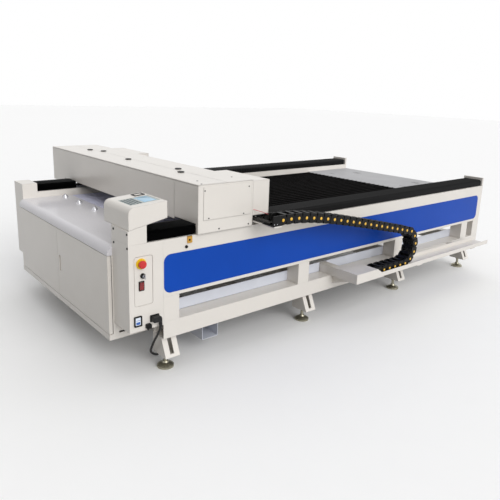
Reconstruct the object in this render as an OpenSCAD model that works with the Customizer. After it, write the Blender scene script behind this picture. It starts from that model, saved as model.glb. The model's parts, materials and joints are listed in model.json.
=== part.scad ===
// Flatbed laser cutting machine: welded frame, slat bed, travelling gantry, front cabinet and control column.
// Millimetres, +Z up. X runs across the machine, Y from the cabinet doors to the rear, Z=0 is the floor.

/* [Machine] */
// Width over the two side boxes
machine_w = 1740; // [1640:10:1840]
// Length from the door faces to the rear end
machine_l = 3460; // [3300:10:3700]
// Height of the work table above the floor
table_z = 700; // [680:5:740]
// Sheet thickness of covers and tables
sheet_t = 3; // [2:0.5:4]
// Running clearance between moving pieces
run_gap = 0.4; // [0.3:0.1:0.8]

/* [Side boxes and base] */
// Width of a side box and of a front column
side_w = 174; // [165:1:190]
// Height of a side box
side_h = 305; // [290:1:330]
// Height of the side box top above the table
rail_rise = 42; // [38:1:50]
// Wall of the welded side boxes
box_wall = 5; // [4:0.5:8]
// Width of a base beam
beam_w = 100; // [80:1:110]
// Height of a base beam
beam_h = 95; // [80:1:110]
// Height of the short posts on a base beam
post_h = 137; // [115:1:150]
// Length of a short post along the machine
post_l = 95; // [70:1:110]
// Width of a cross beam
cross_l = 80; // [60:1:100]
// Height of a coloured side panel
panel_h = 207; // [160:1:225]
// Height of a side panel's lower edge above the bottom of the side box
panel_lift = 19; // [12:1:40]
// Corner radius of a side panel
panel_r = 40; // [20:1:60]
// Thickness of a side panel
panel_t = 3; // [2:0.5:4]
// Depth of the pocket that takes a side panel
panel_pocket = 2; // [1:0.5:3]
// Height of an inner dust panel
dust_h = 66; // [50:1:90]
// Height of the plates that close the rail channels at the rear
rear_plate_h = 70; // [60:1:80]

/* [Levelling feet] */
// Height of a foot bracket
bracket_h = 120; // [100:1:130]
// Length of a foot bracket along the machine
bracket_l = 88; // [70:1:100]
// Plate thickness of a foot bracket
bracket_t = 8; // [6:1:10]
// Radius of a foot's pad
pad_r = 46; // [36:1:55]
// Height of a foot's pad
pad_h = 34; // [26:1:40]
// Radius of a foot's threaded stem
stem_r = 10; // [8:0.5:12]
// Distance of a foot from the outer face of the side box
foot_inset = 80; // [70:1:84]

/* [Front cabinet] */
// Setback of the columns behind the door faces
column_setback = 27; // [24:1:40]
// Depth of a column
column_d = 191; // [185:1:220]
// Height of a column
column_h = 454; // [440:1:470]
// Depth of the cabinet
cabinet_d = 380; // [340:5:390]
// Height of the cabinet below the table
cabinet_h = 510; // [480:1:540]
// Height of the table's front apron
apron_h = 49; // [44:1:60]
// Radius of the table's front edge
apron_r = 40; // [20:1:43]
// Height of the cabinet's plinth
plinth_h = 32; // [25:1:45]
// Thickness of a door
door_t = 20; // [18:1:22]
// Gap round a door
door_gap = 3; // [2:0.5:4]
// Radius of a door's hinge pin
hinge_r = 3; // [2.5:0.5:4]
// Depth of the front table
front_table_d = 346; // [320:1:370]
// Depth of the rear table
rear_table_d = 600; // [500:5:700]
// Height of the table's side and rear skirts
skirt_h = 48; // [40:1:54]

/* [Slat bed] */
// Distance from slat to slat
slat_pitch = 51; // [46:1:60]
// Thickness of a slat
slat_t = 5; // [3:0.5:7]
// Height of a slat
slat_h = 45; // [40:1:50]
// Height of a comb bar
comb_h = 40; // [34:1:46]
// Depth of the notches in a comb bar
notch_d = 25; // [20:1:28]

/* [Gantry] */
// Distance of the gantry cover from the door faces
gantry_y = 415; // [380:1:460]
// Depth of the gantry cover
gantry_d = 368; // [350:1:400]
// Height of the gantry cover
gantry_h = 221; // [215:1:260]
// Reach of the gantry's tube end to the left of the middle
tube_reach = 1160; // [1140:1:1250]
// Width of the deep part of the tube end
tube_end_w = 225; // [180:1:240]
// Drop of the deep tube end below the cover
tube_end_drop = 36; // [20:1:40]
// Overhang of the right end plate past the side box
end_over = 16; // [12:1:30]
// Depth of the two rear boxes
rear_box_d = 120; // [105:1:150]
// Distance of the lid split behind the cover's front
lid_split = 185; // [170:1:200]
// Radius of the rolled hinge along a lid
roll_r = 3.5; // [3:0.5:4]
// Depth of the gantry beam
beam_d = 120; // [100:1:130]
// Height of the gantry beam
bridge_h = 100; // [80:1:105]
// Radius of the laser tube
tube_r = 40; // [30:1:42]
// Radius of a lid lock's knob
lock_r = 20; // [14:1:22]
// Radius of the lens tube
lens_r = 16; // [12:0.5:18]

/* [Drag chain] */
// Distance from pivot to pivot
link_p = 61; // [60:0.5:64]
// Radius of a link's round ends
link_r = 28; // [24:0.5:28]
// Height of a link
link_h = 58; // [54:1:62]
// Width of the chain
chain_w = 90; // [80:1:96]
// Thickness of a link's side plate
plate_t = 7; // [5:0.5:8]
// Radius of a pivot pin
pin_r = 8; // [5:0.5:9]
// Width of the cable tray
tray_w = 130; // [120:1:140]
// Height of the tray's lips
tray_lip = 30; // [20:1:36]
// Gap between the side box and the tray
tray_off = 87; // [80:1:110]

/* [Bellows] */
// Distance from pleat to pleat
pleat_p = 20; // [16:1:26]
// Depth of a pleat
pleat_d = 12; // [8:1:14]
// Height of the bellows above the side box
bellows_h = 50; // [46:1:54]
// Wall of the bellows' side skirts
skirt_t = 8; // [6:1:10]

/* [Control column] */
// Width of the console head
console_w = 265; // [240:1:265]
// Depth of the console head
console_d = 212; // [190:1:225]
// Height of the console head at its front
console_h = 110; // [100:1:120]
// Height of the console head at its back
console_back = 86; // [76:1:96]
// Slope of the console's underside
console_tilt = 11; // [6:1:14]
// Radius of the console's front top edge
console_r = 34; // [20:1:36]
// Height of the neck under the console's front edge
neck_h = 71; // [60:1:90]
// Width of the switch plate
plate_w = 99; // [90:1:104]
// Height of the switch plate
plate_h = 254; // [240:1:262]
// Radius of the emergency stop's button
stop_r = 20; // [16:0.5:22]
// Radius of the emergency stop's collar
collar_r = 27; // [25:0.5:29]
// Radius of the power cord
cord_r = 6; // [5:0.25:6.5]

/* [Hidden] */
$fn = 32;
// Side, frame and column places
out_x = machine_w / 2;
in_x = out_x - side_w;
rail_z = table_z + rail_rise;
box_z0 = rail_z - side_h;
beam_z1 = box_z0 - post_h;
beam_z0 = beam_z1 - beam_h;
beam_x0 = out_x - beam_w;
col_y0 = column_setback;
col_y1 = col_y0 + column_d;
col_z0 = rail_z - column_h;
cab_z0 = table_z - cabinet_h;
apron_z0 = table_z - apron_h;
// Places along the machine are shares of the length behind the columns
post_y = concat([for (f = [0, 0.3004, 0.6129, 0.9118]) along(f)], [machine_l - post_l]);
cross_y = [for (f = [0.1857, 0.3337, 0.6484, 0.9507]) along(f)];
foot_y = [col_y1 + 57, along(0.343), along(0.6576), machine_l - 130];
rear_table_y0 = machine_l - rear_table_d;
slat_y0 = front_table_d + 2;
slat_y1 = rear_table_y0 - 2;
// Rails, bellows and gantry places
seat_gap = 0.3;
rail_x = out_x - side_w / 2;
rail_w = 20;
rail_h = 20;
rack_w = 15;
rack_x = in_x + 24;
end_cap_d = 101;
end_cap_h = 60;
end_plate_t = 20;
gantry_y1 = gantry_y + gantry_d;
block_h = 38;
block_lift = 6;
saddle_t = 14;
saddle_z0 = rail_z + block_lift + block_h;
saddle_z1 = saddle_z0 + saddle_t;
saddle_w = 134;
cover_z0 = saddle_z0 - 1;
cover_z1 = cover_z0 + gantry_h;
lid_z0 = cover_z1 - roll_r;
wall_z1 = cover_z1 - 2 * roll_r - run_gap;
end_x = out_x + end_over;
seam_x = end_x - 230;
split_y = gantry_y + lid_split;
rear_y1 = gantry_y1 + rear_box_d;
saddle_y1 = rear_y1;
bridge_y0 = gantry_y + 145;
bridge_y1 = bridge_y0 + beam_d;
bridge_z1 = saddle_z1 + bridge_h;
bellows_x0 = in_x + 8;
bellows_x1 = out_x - 8;
bellows_z0 = rail_z + 2;
front_bellows_y = [col_y0 + end_cap_d + seat_gap, gantry_y - seat_gap];
rear_bellows_y = [rear_y1 + seat_gap, machine_l - end_plate_t - seat_gap];
// Drive places
pinion_r = 20;
shaft_r = 10;
shaft_y = gantry_y1 + 57;
shaft_z = rail_z + 15 + pinion_r + run_gap;
// Head places
head_y = gantry_y + 35;
module_y0 = bridge_y0 - 55;
module_z = [saddle_z1 + 10, saddle_z1 + 70];
head_z = [saddle_z0 + 4, saddle_z1 + 80];
tube_y = bridge_y1 + 10;
tube_z = bridge_z1 + tube_r + 10;
tube_x0 = -tube_reach + 60;
mirror_x = rail_x - 43;
tube_l = mirror_x - 190 - tube_x0;
// Lock places are shares of the length of the lids
front_lock_x = [for (f = [0.1735, 0.479, 0.7996]) across(f)];
rear_lock_x = [for (f = [0.2302, 0.7419]) across(f)];
lock_step = 28;
// Chain places
n_low = 5;
n_bend = 5;
n_up = 21;
upper_rise = 13.5;
upper_start = 180 - upper_rise;
bend_first = 22.5;
bend_step = (upper_start - bend_first) / n_bend;
tray_x0 = out_x + tray_off;
tray_x1 = tray_x0 + tray_w;
tray_t = 3;
tray_z0 = beam_z1;
chain_x = (tray_x0 + tray_x1) / 2;
chain_start = [gantry_y1 + 977, tray_z0 + tray_t + link_h / 2 + run_gap];
arm_y = [chain_start[0] - 260, chain_start[0] - 200];
arm_h = 60;
arm_plate_t = 6;
tray_y = [chain_start[0] - 160, machine_l - 230];
// Console places
console_o = [out_x - console_w, col_y0 + 5, rail_z + neck_h];
// Cord route from the plug to the coil: past the side, behind the column's front, share of the plug's height
cord_rel = [
    [23, 160, 1], [22, 161, 0.954], [17, 162, 0.908], [7, 164, 0.856], [-7, 166, 0.797], [-23, 168, 0.732],
    [-40, 170, 0.66], [-57, 172, 0.595], [-74, 174, 0.523], [-90, 176, 0.448], [-105, 178, 0.376],
    [-120, 181, 0.307], [-135, 189, 0.242], [-149, 203, 0.183], [-163, 221, 0.127], [-178, 241, 0.072],
    [-195, 263, 0.026], [-214, 285, 0.003], [-235, 306, 0], [-259, 326, 0], [-284, 347, 0], [-309, 368, 0],
    [-335, 391, 0], [-361, 414, 0], [-387, 438, 0], [-412, 465, 0], [-434, 495, 0], [-454, 528, 0],
    [-473, 573, 0]];
cord_z0 = cord_r + 0.5;
cord_exit = rail_z - 430;
cord_path = [for (q = cord_rel) [out_x + q[0], col_y0 + q[1], cord_z0 + q[2] * (cord_exit - cord_z0)]];
cord_end = cord_path[len(cord_path) - 1];
coil_r = 66;
coil_wide = 38;
coil_high = 25;
coil_c = [cord_end[0] - 74, cord_end[1] + 48];
wall_plug_c = [coil_c[0] - 74, coil_c[1] + 93];
// Centre of the whole, so that the origin lies under the middle of the machine
centre_x = (tray_x1 + arm_plate_t - tube_reach) / 2;
centre_y = machine_l / 2;

function along(f) = col_y1 + f * (machine_l - col_y1);

function across(f) = -tube_reach + f * (tube_reach + end_x);

// Shared shapes
module place() { translate([-centre_x, -centre_y, 0]) children(); }

module both_sides() {
    children();
    mirror([1, 0, 0]) children();
}

module block(a, b) { translate(a) cube(b - a); }

// Rectangular tube along Y
module tube_along_y(a, b, wall) {
    difference() {
        block(a, b);
        block([a[0] + wall, a[1] - 1, a[2] + wall], [b[0] - wall, b[1] + 1, b[2] - wall]);
    }
}

// Rectangle with round corners, its lower left corner at the origin
module round_rect(w, h, r) {
    translate([r, 0]) square([w - 2 * r, h]);
    translate([0, r]) square([w, h - 2 * r]);
    for (x = [r, w - r], y = [r, h - r]) translate([x, y]) circle(r);
}

// Flat shape drawn in Y and Z, grown along +X from x
module face_x(x, t) { translate([x, 0, 0]) rotate([90, 0, 90]) linear_extrude(t) children(); }

// Flat shape drawn in X and Z, grown along +Y from y
module face_y(y, t) { translate([0, y + t, 0]) rotate([90, 0, 0]) linear_extrude(t) children(); }

// Base of the welded frame: two long beams of rectangular tube
module base_beams() {
    color("whitesmoke") both_sides()
        tube_along_y([beam_x0, col_y1, beam_z0], [out_x, machine_l, beam_z1], box_wall);
}

// Short members of the welded frame: posts, cross beams, foot brackets, end plates of the rail channels
module frame_members() {
    color("whitesmoke") {
        both_sides() {
            for (y = post_y) block([beam_x0, y, beam_z1], [out_x, y + post_l, box_z0]);
            block([in_x, machine_l - end_plate_t, rail_z], [out_x, machine_l, rail_z + rear_plate_h]);
            for (y = foot_y) foot_bracket(y);
        }
        for (y = cross_y) block([-beam_x0, y, beam_z0], [beam_x0, y + cross_l, beam_z1]);
    }
}

module panel_outline() {
    translate([col_y1 + 4, box_z0 + panel_lift])
        round_rect(machine_l - col_y1 - 64, panel_h, panel_r);
}

module side_boxes() {
    color("whitesmoke") both_sides() difference() {
        block([in_x, col_y1, box_z0], [out_x, machine_l, rail_z]);
        block([in_x + box_wall, col_y1 - 1, box_z0 + box_wall],
            [out_x - box_wall, machine_l - box_wall, rail_z - box_wall]);
        face_x(out_x - panel_pocket, panel_pocket + 1) panel_outline();
    }
}

module side_panels() {
    color("royalblue") both_sides() face_x(out_x - panel_pocket, panel_t) panel_outline();
}

// Inner dust panels that stand behind the posts; the right one lets the chain arm through
module inner_panels() {
    panel_z = [beam_z1 + 1.5, beam_z1 + dust_h];
    color("lightsteelblue") {
        mirror([1, 0, 0]) block([beam_x0 - sheet_t, col_y1, panel_z[0]], [beam_x0, machine_l, panel_z[1]]);
        difference() {
            block([beam_x0 - sheet_t, col_y1, panel_z[0]], [beam_x0, machine_l, panel_z[1]]);
            block([beam_x0 - sheet_t - 1, arm_y[0] - 5, beam_z1 - 1],
                [beam_x0 + 1, arm_y[1] + 5, beam_z1 + arm_h + 5]);
        }
    }
}

// Foot bracket in section: it flares outwards from the beam to its base plate
bracket_in = out_x - 135;
bracket_top = out_x - 54;
bracket_z0 = beam_z0 - bracket_h;

module bracket_section() {
    polygon([[bracket_in, beam_z0], [bracket_top, beam_z0], [out_x, bracket_z0], [bracket_in, bracket_z0]]);
}

// Hollow of a bracket, open towards the middle of the machine
module bracket_hollow() {
    lean = bracket_t * 1.15;
    polygon([[bracket_in - 1, beam_z0 + 1], [bracket_top - lean, beam_z0 + 1], [bracket_top - lean, beam_z0],
        [out_x - lean - bracket_t / 2, bracket_z0 + bracket_t], [bracket_in - 1, bracket_z0 + bracket_t]]);
}

module foot_bracket(y) {
    slot = stem_r + 2;
    difference() {
        face_y(y - bracket_l / 2, bracket_l) bracket_section();
        face_y(y - bracket_l / 2 + bracket_t, bracket_l - 2 * bracket_t) bracket_hollow();
        translate([out_x - foot_inset, y, bracket_z0 - 1]) cylinder(r = stem_r + run_gap, h = bracket_t + 2);
        block([bracket_top - 20, y - slot, bracket_z0 + 2 * bracket_t],
            [out_x, y + slot, beam_z0 - 2 * bracket_t]);
    }
}

module foot_profile() {
    polygon([[0, 0], [pad_r, 0], [pad_r, pad_h / 3], [pad_r - 8, pad_h / 2], [stem_r + 8, pad_h * 0.75],
        [stem_r + 5, pad_h], [stem_r, pad_h], [stem_r, beam_z0 - 30], [0, beam_z0 - 30]]);
}

nut_h = 16;
nut_r = stem_r * 1.75;

module foot_nut(z) {
    translate([0, 0, z]) difference() {
        cylinder(r = nut_r, h = nut_h, $fn = 6);
        translate([0, 0, -1]) cylinder(r = stem_r + run_gap / 2, h = nut_h + 2);
    }
}

module levelling_feet() {
    color("darkkhaki") both_sides() for (y = foot_y) translate([out_x - foot_inset, y, 0]) {
        rotate_extrude() foot_profile();
        foot_nut(bracket_z0 + bracket_t);
        foot_nut(bracket_z0 - nut_h);
    }
}

// Front cabinet: open carcass with a plinth and a header that hold the door pins
door_z = [cab_z0 + plinth_h + door_gap, apron_z0 - door_gap];
hinge_x = in_x - door_gap - 5;
hinge_y = door_t / 2;
header_h = 12;
pin_gap = 0.08;
pin_l = door_gap + 8;

module cabinet() {
    front = door_t + 2;
    color("gainsboro") difference() {
        union() {
            difference() {
                block([-in_x, front, cab_z0], [in_x, cabinet_d, apron_z0]);
                block([-in_x + sheet_t, front - 1, cab_z0 + sheet_t],
                    [in_x - sheet_t, cabinet_d - sheet_t, apron_z0 - sheet_t]);
            }
            block([-in_x, 0, cab_z0], [in_x, front, cab_z0 + plinth_h]);
            block([-in_x + sheet_t + 1, sheet_t + 1, apron_z0],
                [in_x - sheet_t - 1, front + 30, apron_z0 + header_h]);
        }
        both_sides() {
            translate([hinge_x, hinge_y, door_z[0] - pin_l - 1])
                cylinder(r = hinge_r + pin_gap, h = pin_l + 1);
            translate([hinge_x, hinge_y, door_z[1]]) cylinder(r = hinge_r + pin_gap, h = pin_l + 1);
            block([in_x - sheet_t - 1, 54, cab_z0 + plinth_h], [in_x + 1, 104, cab_z0 + plinth_h + 10]);
        }
    }
}

// Door with its hinge pins; the right one has a recessed pull
module door(pull) {
    pull_z = (door_z[0] + door_z[1]) / 2;
    color("gainsboro") difference() {
        union() {
            block([door_gap / 2, 0, door_z[0]], [in_x - door_gap, door_t, door_z[1]]);
            translate([hinge_x, hinge_y, door_z[0] - pin_l]) cylinder(r = hinge_r, h = pin_l);
            translate([hinge_x, hinge_y, door_z[1]]) cylinder(r = hinge_r, h = pin_l);
        }
        if (pull) block([24, -1, pull_z - 48], [46, 9, pull_z + 48]);
    }
}

module door_left() { mirror([1, 0, 0]) door(false); }

module door_right() { door(true); }

// Control electronics on a plate at the back of the cabinet
plate_margin = 60;
unit_w = 70;

module cabinet_electrics() {
    back = cabinet_d - sheet_t;
    front = back - 4;
    z = cab_z0 + plate_margin;
    x = in_x - 3 * plate_margin;
    top = apron_z0 - plate_margin;
    color("slategray") {
        block([-x, front, z], [x, back, top]);
        block([-x + 40, front - 126, z + 30], [-x * 0.48, front, top - 40]);
        for (i = [-1.5:1.5]) block([(i - 0.25) * unit_w * 1.6, front - 86, z + 50],
            [(i - 0.25) * unit_w * 1.6 + unit_w, front, z + 210]);
        block([x * 0.42, front - 46, z + 50], [x - 60, front, z + 240]);
    }
}

// Front table: one folded sheet with a rounded front edge and a short apron
module front_table_section(grow) {
    difference() {
        union() {
            translate([apron_r, apron_z0 - grow]) square([front_table_d - apron_r, apron_h]);
            translate([grow, apron_z0 - grow]) square([apron_r, apron_h - apron_r + grow]);
            translate([apron_r, table_z - apron_r]) circle(apron_r - grow, $fn = 48);
        }
        translate([-1, apron_z0 - grow - 2 * apron_r]) square([3 * apron_r, 2 * apron_r]);
    }
}

ball_r = 14;
ball_x = [for (i = [-2.5:2.5]) i * (2 * in_x - 142) / 5];
ball_y = front_table_d - 49;
cup_r = 21;

module front_table() {
    color("white") difference() {
        face_x(-in_x, 2 * in_x) front_table_section(0);
        face_x(-in_x + sheet_t, 2 * (in_x - sheet_t)) front_table_section(sheet_t);
        for (x = ball_x) translate([x, ball_y, table_z - 10]) cylinder(r = ball_r + 3, h = 20);
    }
    color("white") edge_teeth(front_table_d - 1);
}

// Teeth of a table edge, which stand between the ends of the slats
tooth_l = 16;
tooth_gap = 2;

module edge_teeth(y) {
    x = [slat_t / 2 + tooth_gap, slat_pitch - slat_t / 2 - tooth_gap];
    for (i = [-slat_n:slat_n - 1])
        translate([i * slat_pitch, y, 0]) block([x[0], 0, table_z - sheet_t], [x[1], tooth_l + 1, table_z]);
}

module ball_units() {
    color("silver") for (x = ball_x) translate([x, ball_y, table_z]) {
        rotate_extrude()
            polygon([[ball_r + seat_gap, 0], [cup_r, 0], [cup_r - 2, 10], [ball_r + seat_gap, 12]]);
        translate([0, 0, 8]) sphere(ball_r);
    }
}

// Rear table with its oblong hand slots
slot_l = 62;
slot_w = 14;

module oblong(p) {
    translate([p[0], p[1], table_z - 10]) {
        translate([-slot_l / 2, -slot_w / 2, 0]) cube([slot_l, slot_w, 20]);
        for (x = [-slot_l / 2, slot_l / 2]) translate([x, 0, 0]) cylinder(r = slot_w / 2, h = 20);
    }
}

module rear_table() {
    color("white") difference() {
        block([-in_x, rear_table_y0, table_z - skirt_h], [in_x, machine_l, table_z]);
        block([-in_x + sheet_t, rear_table_y0 + sheet_t, table_z - skirt_h - 1],
            [in_x - sheet_t, machine_l - sheet_t, table_z - sheet_t]);
        for (x = [-0.69, 0.524]) oblong([x * in_x, rear_table_y0 + 0.217 * rear_table_d]);
        for (x = [-0.56, 0.453], y = [0, 34]) oblong([x * in_x, rear_table_y0 + 0.658 * rear_table_d + y]);
    }
    color("white") edge_teeth(rear_table_y0 - tooth_l);
}

// Slat bed: long blades that stand in the notches of five comb bars
slat_n = floor((in_x - 20) / slat_pitch);
slat_z0 = table_z - slat_h;
comb_z0 = slat_z0 + notch_d - comb_h;
comb_t = 8;
comb_y = [for (i = [0:4]) slat_y0 + 60 + i * (slat_y1 - slat_y0 - 120 - comb_t) / 4];

module slat_bed() {
    color("dimgray") for (i = [-slat_n:slat_n])
        translate([i * slat_pitch, 0, 0])
            block([-slat_t / 2, slat_y0, slat_z0], [slat_t / 2, slat_y1, table_z]);
}

module comb_outline() {
    difference() {
        translate([-in_x, comb_z0]) square([2 * in_x, comb_h]);
        for (i = [-slat_n:slat_n])
            translate([i * slat_pitch - slat_t / 2 - run_gap, slat_z0])
                square([slat_t + 2 * run_gap, notch_d + 1]);
    }
}

module slat_combs() {
    color("gray") for (y = comb_y) face_y(y, comb_t) comb_outline();
}

// Waste hopper under the bed, and the exhaust duct that leaves its floor to the right
hopper_z = [beam_z1 + 30, comb_z0];
hopper_floor = 200;
hopper_rim = 40;
hopper_y = [cabinet_d + 12, slat_y1];
duct_y = [510, 620];
duct_top = beam_z0 - 5;
duct_low = beam_z0 - 117;
duct_x = [60, hopper_floor - sheet_t, 250, 320];
duct_chin = 150;
mouth_x = beam_x0 + 30;

module hopper_section(t) {
    x = in_x - t;
    z = hopper_z[1] - hopper_rim;
    polygon([[-x, hopper_z[1] + t], [-x, z], [-hopper_floor, hopper_z[0] + t],
        [hopper_floor, hopper_z[0] + t], [x, z], [x, hopper_z[1] + t]]);
}

module duct_section(t) {
    polygon([[duct_x[0] + t, hopper_z[0] + t], [duct_x[1] - t, hopper_z[0] + t], [duct_x[3], duct_top - t],
        [mouth_x + t, duct_top - t], [mouth_x + t, duct_low + t], [duct_x[2], duct_low + t],
        [duct_x[0] + t, duct_low + duct_chin]]);
}

module waste_hopper() {
    color("lightgray") difference() {
        face_y(hopper_y[0], hopper_y[1] - hopper_y[0]) hopper_section(0);
        face_y(hopper_y[0] + sheet_t, hopper_y[1] - hopper_y[0] - 2 * sheet_t) hopper_section(sheet_t);
        block([duct_x[0] + sheet_t, duct_y[0] + sheet_t, hopper_z[0] - 1],
            [duct_x[1] - sheet_t, duct_y[1] - sheet_t, hopper_z[0] + sheet_t + 1]);
    }
}

module exhaust_duct() {
    color("lightgray") difference() {
        face_y(duct_y[0], duct_y[1] - duct_y[0]) duct_section(0);
        face_y(duct_y[0] + sheet_t, duct_y[1] - duct_y[0] - 2 * sheet_t) duct_section(sheet_t);
    }
}

// Front columns; the left one ends in a raised cap, the right one carries the controls
plate_y0 = col_y0 + 31;
plate_z0 = rail_z - 319;
recess = 4;

module plate_outline(gap) {
    translate([plate_y0 - gap, plate_z0 - gap]) round_rect(plate_w + 2 * gap, plate_h + 2 * gap, 12 + gap);
}

module front_columns() {
    color("gainsboro") {
        mirror([1, 0, 0]) {
            block([in_x, col_y0, col_z0], [out_x, col_y1, rail_z]);
            block([in_x, col_y0, rail_z], [out_x, col_y0 + end_cap_d, rail_z + end_cap_h]);
        }
        difference() {
            block([in_x, col_y0, col_z0], [out_x, col_y1, rail_z]);
            face_x(out_x - recess, recess + 1) plate_outline(2);
            translate([out_x - recess - 10, stop_c[0], stop_c[1]]) rotate([0, 90, 0])
                cylinder(r = stem_hole_r, h = 12);
        }
    }
}

// Console: a neck on the column and a tilted head with a large front radius
module console_neck() {
    rise = tan(console_tilt);
    top = rail_z + neck_h;
    y = [col_y0, col_y0 + end_cap_d];
    color("gainsboro") face_x(in_x, side_w) polygon([[y[0], rail_z], [y[1], rail_z],
        [y[1], top + (y[1] - console_o[1]) * rise], [y[0], top + (y[0] - console_o[1]) * rise]]);
}

// Section of the head: upright front and back, sloping underside, flatter key face, round front edge
face_tilt = atan((console_d * tan(console_tilt) + console_back - console_h) / console_d);
edge_z = console_h + console_r * tan(face_tilt) - console_r / cos(face_tilt);

module console_section() {
    low = console_d * tan(console_tilt);
    polygon([[0, 0], [console_d, low], [console_d, low + console_back],
        [console_r * (1 - sin(face_tilt)), edge_z + console_r * cos(face_tilt)], [0, edge_z]]);
    translate([console_r, edge_z]) circle(console_r, $fn = 48);
}

// Frame of the key face: X across, u up the slope, v out of the face
module on_face() { translate(console_o + [0, 0, console_h]) rotate([face_tilt, 0, 0]) children(); }

face_inset = 2;
film_t = 1.5;
film_gap = 0.5;
film_x = [80, 218];
film_u = [36, 202];
lcd_x = [88, 204];
lcd_u = [118, 188];

module console_housing() {
    color("whitesmoke") difference() {
        translate(console_o) face_x(0, console_w) console_section();
        on_face() block([film_x[0], film_u[0], -face_inset], [film_x[1], film_u[1], 1]);
    }
}

module lcd() {
    color("lightskyblue") on_face()
        block([lcd_x[0], lcd_u[0], -face_inset], [lcd_x[1], lcd_u[1], film_t - face_inset]);
}

// Key membrane with the window of the screen
module keypad() {
    g = film_gap;
    color("cadetblue") on_face() difference() {
        block([film_x[0] + g, film_u[0] + g, -face_inset],
            [film_x[1] - g, film_u[1] - g, film_t - face_inset]);
        block([lcd_x[0] - g / 2, lcd_u[0] - g / 2, -face_inset - 1], [lcd_x[1] + g / 2, lcd_u[1] + g / 2, 1]);
    }
}

// Controls on the column's right face
stop_c = [col_y0 + 67, rail_z - 100];
key_c = [col_y0 + 75, rail_z - 163];
rocker_c = [col_y0 + 68, rail_z - 215];
meter_c = [col_y0 + 44.5, rail_z - 397];
inlet_c = [col_y0 + 138, rail_z - 400];
socket_c = [col_y0 + 100, rail_z - 434];
plate_x = out_x - recess + 3;
collar_t = 5;
stem_hole_r = 11;
barrel_r = 13;
rocker_w = 22;
rocker_h = 42;

module switch_plate() {
    w = [rocker_w / 2 + 1, rocker_h / 2 + 1];
    color("lightgray") difference() {
        face_x(out_x - recess, 3) plate_outline(0);
        translate([plate_x - 4, stop_c[0], stop_c[1]]) rotate([0, 90, 0]) cylinder(r = stem_hole_r, h = 6);
        block([plate_x - 4, rocker_c[0] - w[0], rocker_c[1] - w[1]],
            [plate_x + 1, rocker_c[0] + w[0], rocker_c[1] + w[1]]);
    }
}

// Outlines of the fittings, in Y and Z
module rocker_bezel() {
    rim = 4;
    difference() {
        translate(rocker_c - [rocker_w / 2 + rim, rocker_h / 2 + rim])
            round_rect(rocker_w + 2 * rim, rocker_h + 2 * rim, 3);
        translate(rocker_c - [rocker_w / 2 + run_gap, rocker_h / 2 + 1])
            square([rocker_w + 2 * run_gap, rocker_h + 2]);
    }
}

meter_size = [42, 54];
meter_rim = 5;
inlet_size = [52, 36];
socket_size = [28, 24];
socket_t = 18;
lead_r = 2.5;
port_x = [18, 64];
port_u = [142, 200];
port_rim = 7;

module meter_window() {
    translate(meter_c - meter_size / 2 + [meter_rim, meter_rim])
        square(meter_size - [2 * meter_rim, 2 * meter_rim]);
}

module lock_barrel() {
    translate([plate_x, key_c[0], key_c[1]]) rotate([0, 90, 0]) difference() {
        cylinder(r = barrel_r, h = 9);
        translate([0, 0, 4]) cylinder(r = 7, h = 6);
    }
}

// Signal lead from the small plug down and under the column
module signal_lead() {
    x = out_x + lead_r + 2;
    z = col_z0 - lead_r;
    translate([x, socket_c[0], z]) cylinder(r = lead_r, h = socket_c[1] - z);
    translate([x, socket_c[0], z]) sphere(lead_r);
    translate([x - 70, socket_c[0], z]) rotate([0, 90, 0]) cylinder(r = lead_r, h = 70);
}

// Black fittings: rocker bezel, lock barrel, panel meter, mains inlet, signal plug, grommet and port frame
module panel_fittings() {
    color("black") {
        face_x(plate_x, 4) rocker_bezel();
        lock_barrel();
        face_x(out_x, 8) difference() {
            translate(meter_c - meter_size / 2) round_rect(meter_size[0], meter_size[1], 3);
            meter_window();
        }
        face_x(out_x, 4) meter_window();
        face_x(out_x, 5) translate(inlet_c - inlet_size / 2) round_rect(inlet_size[0], inlet_size[1], 4);
        face_x(out_x, socket_t) translate(socket_c - socket_size / 2)
            round_rect(socket_size[0], socket_size[1], 5);
        signal_lead();
        translate([out_x, col_y1 + 137, rail_z - 55]) rotate([0, 90, 0]) cylinder(r = 8, h = 6);
        on_face() linear_extrude(3) difference() {
            translate([port_x[0], port_u[0]]) square([port_x[1] - port_x[0], port_u[1] - port_u[0]]);
            translate([port_x[0] + port_rim, port_u[0] + port_rim])
                square([port_x[1] - port_x[0] - 2 * port_rim, port_u[1] - port_u[0] - 2 * port_rim]);
        }
    }
}

// Limit switch on the right side box, below the bellows
module limit_switch() {
    y = col_y1 + 142;
    color("darkgoldenrod") block([out_x, y, rail_z - 36], [out_x + 8, y + 27, rail_z]);
}

module estop_collar() {
    color("gold") translate([plate_x, stop_c[0], stop_c[1]]) rotate([0, 90, 0]) difference() {
        cylinder(r = collar_r, h = collar_t, $fn = 48);
        translate([0, 0, -1]) cylinder(r = stem_hole_r, h = collar_t + 2);
    }
}

module estop_button() {
    color("red") translate([plate_x, stop_c[0], stop_c[1]]) rotate([0, 90, 0]) {
        cylinder(r = stem_hole_r - run_gap, h = collar_t + 8);
        rotate_extrude($fn = 48) translate([0, collar_t + 7]) polygon([[0, 0], [stop_r - 4, 0], [stop_r, 4],
            [stop_r, 11], [stop_r - 3, 15], [0, 17]]);
    }
}

// Key: a round plug in the lock barrel and a flat bow
module key() {
    color("goldenrod") translate([plate_x, key_c[0], key_c[1]]) rotate([0, 90, 0]) {
        translate([0, 0, 4 + run_gap]) cylinder(r = 7 - run_gap, h = 8);
        translate([-11, -1.5, 10]) cube([22, 3, 22]);
    }
}

module rocker() {
    h = rocker_h / 2 - 2;
    color("crimson") translate([plate_x, 0, rocker_c[1]]) face_y(rocker_c[0] - rocker_w / 2, rocker_w)
        polygon([[0.5, -h], [6, -h], [5, 0], [9, h], [0.5, h]]);
}

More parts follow.
